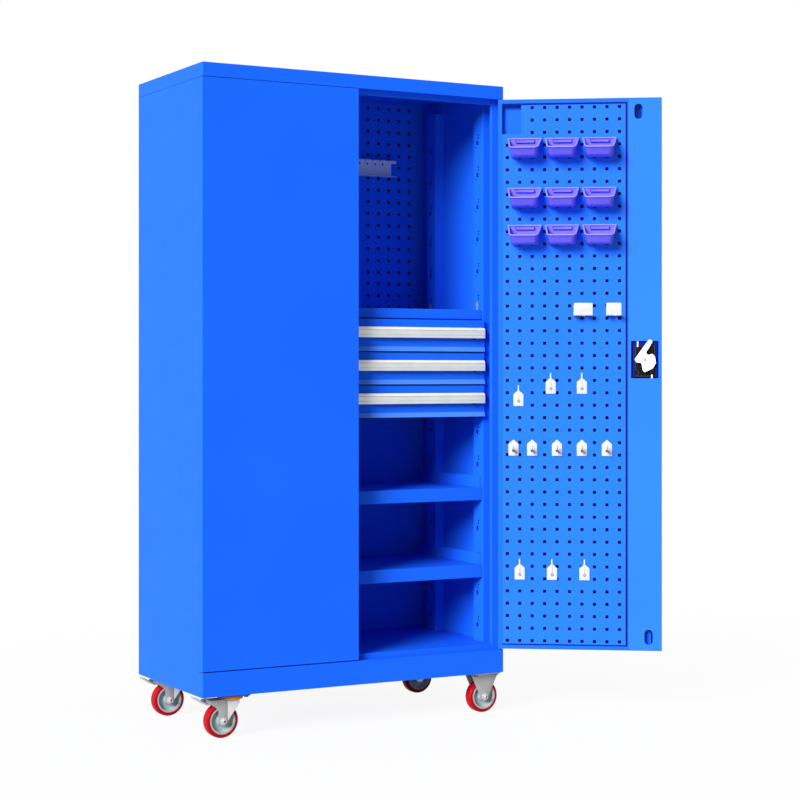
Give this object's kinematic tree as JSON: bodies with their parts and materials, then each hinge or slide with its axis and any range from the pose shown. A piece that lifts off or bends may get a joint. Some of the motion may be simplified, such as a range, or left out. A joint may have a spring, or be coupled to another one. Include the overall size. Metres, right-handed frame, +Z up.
{
  "type": "tool cabinet with doors",
  "caption": "Tall steel tool cabinet on casters with two hinged doors, perforated panels, loose shelves, drawers, hanging parts bins and tool hooks.",
  "frame": {"origin": "on the floor under the middle of the cabinet's footprint", "axes": "+X to the right, +Y from the doors to the back panel, +Z up"},
  "size_m": [1.4182, 0.7858, 1.925],
  "materials": {
    "blue_paint": "smooth powder coat, satin gloss",
    "white_coat": "smooth white coat",
    "zinc_steel": "bright zinc plate",
    "satin_aluminium": "satin anodised",
    "black_plastic": "fine matt grain",
    "violet_plastic": "smooth moulded",
    "red_tread": "smooth cast polyurethane",
    "grey_hub": "moulded, light rim",
    "orange_ring": "moulded",
    "white_nylon": "moulded"
  },
  "bodies": {
    "cabinet": {"top_cover": "blue_paint", "front_top_rail": "blue_paint", "left_side_panel": "blue_paint", "right_side_panel": "blue_paint", "back_panel": "blue_paint", "base_frame": "blue_paint", "floor_panel": "blue_paint", "slotted_uprights": "blue_paint", "rear_pegboard": "blue_paint", "screwdriver_rack": "white_coat", "lower_shelf": "blue_paint", "upper_shelf": "blue_paint", "drawer_bay_shelf": "blue_paint", "shelf_clips": "zinc_steel", "hinge_bushes": "white_nylon", "drawer_housing": "blue_paint", "drawer_outer_rails": "zinc_steel", "swivel_top_plates": "zinc_steel", "swivel_dust_rings": "orange_ring", "rigid_forks": "zinc_steel", "caster_bolts": "zinc_steel"},
    "left_door": {"left_door_skin": "blue_paint", "left_door_pegboard": "blue_paint", "left_door_stile": "blue_paint", "left_door_hinge_pins": "zinc_steel"},
    "right_door": {"right_door_skin": "blue_paint", "right_door_pegboard": "blue_paint", "right_door_lock_stile": "blue_paint", "right_door_hinge_pins": "zinc_steel", "lock_housing": "black_plastic", "tool_hooks": "white_coat", "plier_racks": "white_coat", "bins_top_row": "violet_plastic", "bins_middle_row": "violet_plastic", "bins_bottom_row": "violet_plastic"},
    "lock": {"lock_handle": "black_plastic", "lock_cam": "zinc_steel"},
    "upper_rod": {"upper_lock_rod": "zinc_steel"},
    "lower_rod": {"lower_lock_rod": "zinc_steel"},
    "drawer_1": {"drawer_1_box": "blue_paint", "drawer_1_front": "blue_paint", "drawer_1_handle": "satin_aluminium"},
    "drawer_2": {"drawer_2_box": "blue_paint", "drawer_2_front": "blue_paint", "drawer_2_handle": "satin_aluminium"},
    "drawer_3": {"drawer_3_box": "blue_paint", "drawer_3_front": "blue_paint", "drawer_3_handle": "satin_aluminium"},
    "front_left_swivel": {"front_left_fork": "zinc_steel"},
    "front_left_brake": {"front_left_pedal": "zinc_steel"},
    "front_left_wheel": {"front_left_tyre": "red_tread", "front_left_hub": "grey_hub"},
    "front_right_wheel": {"front_right_tyre": "red_tread", "front_right_hub": "grey_hub"},
    "rear_left_swivel": {"rear_left_fork": "zinc_steel"},
    "rear_left_brake": {"rear_left_pedal": "zinc_steel"},
    "rear_left_wheel": {"rear_left_tyre": "red_tread", "rear_left_hub": "grey_hub"},
    "rear_right_wheel": {"rear_right_tyre": "red_tread", "rear_right_hub": "grey_hub"}
  },
  "joints": [
    {"name": "left_door_swing", "type": "hinge", "parent": "cabinet", "child": "left_door", "pos_m": [-0.494, -0.241, 0.195], "axis": [0, 0, -1], "range_deg": [0, 180]},
    {"name": "right_door_swing", "type": "hinge", "parent": "cabinet", "child": "right_door", "pos_m": [0.494, -0.241, 0.195], "axis": [0, 0, 1], "range_deg": [-145, 35]},
    {"name": "lock_turn", "type": "hinge", "parent": "right_door", "child": "lock", "pos_m": [0.86041, -0.48657, 1.085], "axis": [0.5736, 0.8192, 0], "range_deg": [-90, 0]},
    {"name": "upper_rod_slide", "type": "slide", "parent": "right_door", "child": "upper_rod", "axis": [0, 0, 1], "range_m": [0, 0.0161]},
    {"name": "lower_rod_slide", "type": "slide", "parent": "right_door", "child": "lower_rod", "axis": [0, 0, -1], "range_m": [0, 0.0161]},
    {"name": "drawer_1_slide", "type": "slide", "parent": "cabinet", "child": "drawer_1", "axis": [0, -1, 0], "range_m": [0, 0.34]},
    {"name": "drawer_2_slide", "type": "slide", "parent": "cabinet", "child": "drawer_2", "axis": [0, -1, 0], "range_m": [0, 0.34]},
    {"name": "drawer_3_slide", "type": "slide", "parent": "cabinet", "child": "drawer_3", "axis": [0, -1, 0], "range_m": [0, 0.34]},
    {"name": "front_left_swivel_turn", "type": "hinge", "parent": "cabinet", "child": "front_left_swivel", "pos_m": [-0.394, -0.203, 0.1], "axis": [0, 0, 1], "continuous": true},
    {"name": "front_left_wheel_roll", "type": "hinge", "parent": "front_left_swivel", "child": "front_left_wheel", "pos_m": [-0.424, -0.203, 0.05], "axis": [0, 1, 0], "continuous": true},
    {"name": "front_left_brake_press", "type": "hinge", "parent": "front_left_swivel", "child": "front_left_brake", "pos_m": [-0.462, -0.203, 0.109], "axis": [0, -1, 0], "range_deg": [0, 10]},
    {"name": "front_right_wheel_roll", "type": "hinge", "parent": "cabinet", "child": "front_right_wheel", "pos_m": [0.448, -0.203, 0.05], "axis": [0, 1, 0], "continuous": true},
    {"name": "rear_left_swivel_turn", "type": "hinge", "parent": "cabinet", "child": "rear_left_swivel", "pos_m": [-0.394, 0.203, 0.1], "axis": [0, 0, 1], "continuous": true},
    {"name": "rear_left_wheel_roll", "type": "hinge", "parent": "rear_left_swivel", "child": "rear_left_wheel", "pos_m": [-0.424, 0.203, 0.05], "axis": [0, 1, 0], "continuous": true},
    {"name": "rear_left_brake_press", "type": "hinge", "parent": "rear_left_swivel", "child": "rear_left_brake", "pos_m": [-0.462, 0.203, 0.109], "axis": [0, -1, 0], "range_deg": [0, 10]},
    {"name": "rear_right_wheel_roll", "type": "hinge", "parent": "cabinet", "child": "rear_right_wheel", "pos_m": [0.448, 0.203, 0.05], "axis": [0, 1, 0], "continuous": true}
  ],
  "couplings": [
    {"joint": "upper_rod_slide", "follows": "lock_turn", "m_per_rad": -0.010186},
    {"joint": "lower_rod_slide", "follows": "lock_turn", "m_per_rad": -0.010186}
  ]
}
